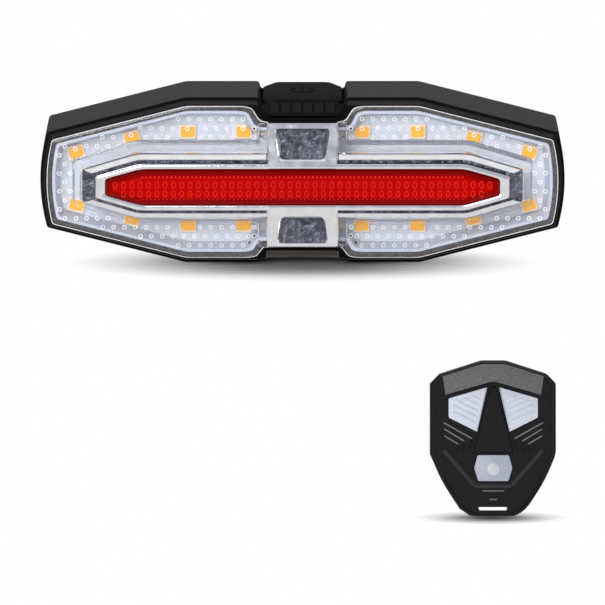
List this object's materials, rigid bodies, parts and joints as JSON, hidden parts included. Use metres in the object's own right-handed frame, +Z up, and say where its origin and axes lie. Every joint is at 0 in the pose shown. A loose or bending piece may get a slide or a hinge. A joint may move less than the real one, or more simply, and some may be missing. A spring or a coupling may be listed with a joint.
{
  "type": "bicycle turn signal light",
  "caption": "Wide bicycle tail light with a red bar in chrome trim, amber turn signal LEDs, a seat post saddle and a handlebar remote.",
  "frame": {"origin": "on the seat post's axis, half way up the saddle at the back of the light", "axes": "+Z up along the seat post, +X along the light to the viewer's right, lens facing -Y"},
  "size_m": [0.11, 0.0876, 0.0801],
  "materials": {
    "black_abs": "fine matte moulding texture",
    "black_rubber": "matte rubber",
    "brown_black_rubber": "matte rubber",
    "clear_polycarbonate": "clear, glossy",
    "chrome_plated_plastic": "mirror plating",
    "red_polycarbonate": "translucent, glossy, prism dots",
    "white_circuit_board": "white solder mask",
    "green_circuit_board": "green solder mask",
    "amber_led": "amber phosphor in a white package",
    "red_led": "red die in a white package",
    "steel": "plain plated steel",
    "battery_foil": "pouch foil",
    "foam": "closed cell foam",
    "switch_plastic": "plain moulded plastic",
    "remote_abs": "fine matte moulding texture",
    "white_silicone": "translucent white silicone",
    "brass_contact": "plated spring contact"
  },
  "bodies": {
    "light": {"rear_housing": "black_abs", "lens_gasket": "black_rubber", "front_bezel": "black_abs", "clear_lens": "clear_polycarbonate", "chrome_trim": "chrome_plated_plastic", "red_lens": "red_polycarbonate", "led_board": "white_circuit_board", "amber_leds_left": "amber_led", "amber_leds_right": "amber_led", "red_leds": "red_led", "board_screws": "steel", "main_board": "green_circuit_board", "battery": "battery_foil", "battery_pad": "foam", "power_switch": "switch_plastic", "usb_port": "steel", "mount_bracket": "black_abs", "mount_pad": "black_rubber", "bracket_screws": "steel"},
    "power_button": {"power_button": "black_rubber", "power_plunger": "switch_plastic"},
    "usb_cover": {"usb_cover": "brown_black_rubber"},
    "remote": {"remote_front_shell": "remote_abs", "remote_back_shell": "remote_abs", "remote_gasket": "black_rubber", "remote_switches": "steel", "remote_board": "green_circuit_board", "cell_contacts": "brass_contact", "coin_cell": "steel", "remote_screws": "steel"},
    "left_button": {"left_button": "white_silicone", "left_plunger": "switch_plastic"},
    "right_button": {"right_button": "white_silicone", "right_plunger": "switch_plastic"},
    "mode_button": {"mode_button": "white_silicone", "mode_plunger": "switch_plastic"},
    "battery_door": {"battery_door": "remote_abs"}
  },
  "joints": [
    {"name": "power_press", "type": "slide", "parent": "light", "child": "power_button", "axis": [0, 0, -1], "range_m": [0, 0.0008], "stiffness_N_per_m": 1500},
    {"name": "cover_hinge", "type": "hinge", "parent": "light", "child": "usb_cover", "pos_m": [0, -0.0242, -0.01535], "axis": [1, 0, 0], "range_deg": [0, 90]},
    {"name": "remote_lift", "type": "slide", "parent": "light", "child": "remote", "axis": [0, 0, 1], "range_m": [0, 0.06]},
    {"name": "left_press", "type": "slide", "parent": "remote", "child": "left_button", "axis": [0, 0.9816, -0.1908], "range_m": [0, 0.0004], "stiffness_N_per_m": 1500},
    {"name": "right_press", "type": "slide", "parent": "remote", "child": "right_button", "axis": [0, 0.9816, -0.1908], "range_m": [0, 0.0004], "stiffness_N_per_m": 1500},
    {"name": "mode_press", "type": "slide", "parent": "remote", "child": "mode_button", "axis": [0, 0.9816, -0.1908], "range_m": [0, 0.0004], "stiffness_N_per_m": 1500},
    {"name": "door_turn", "type": "hinge", "parent": "remote", "child": "battery_door", "pos_m": [0.0389, -0.08093, -0.0468], "axis": [0, 0.9816, -0.1908], "range_deg": [0, 40]}
  ]
}
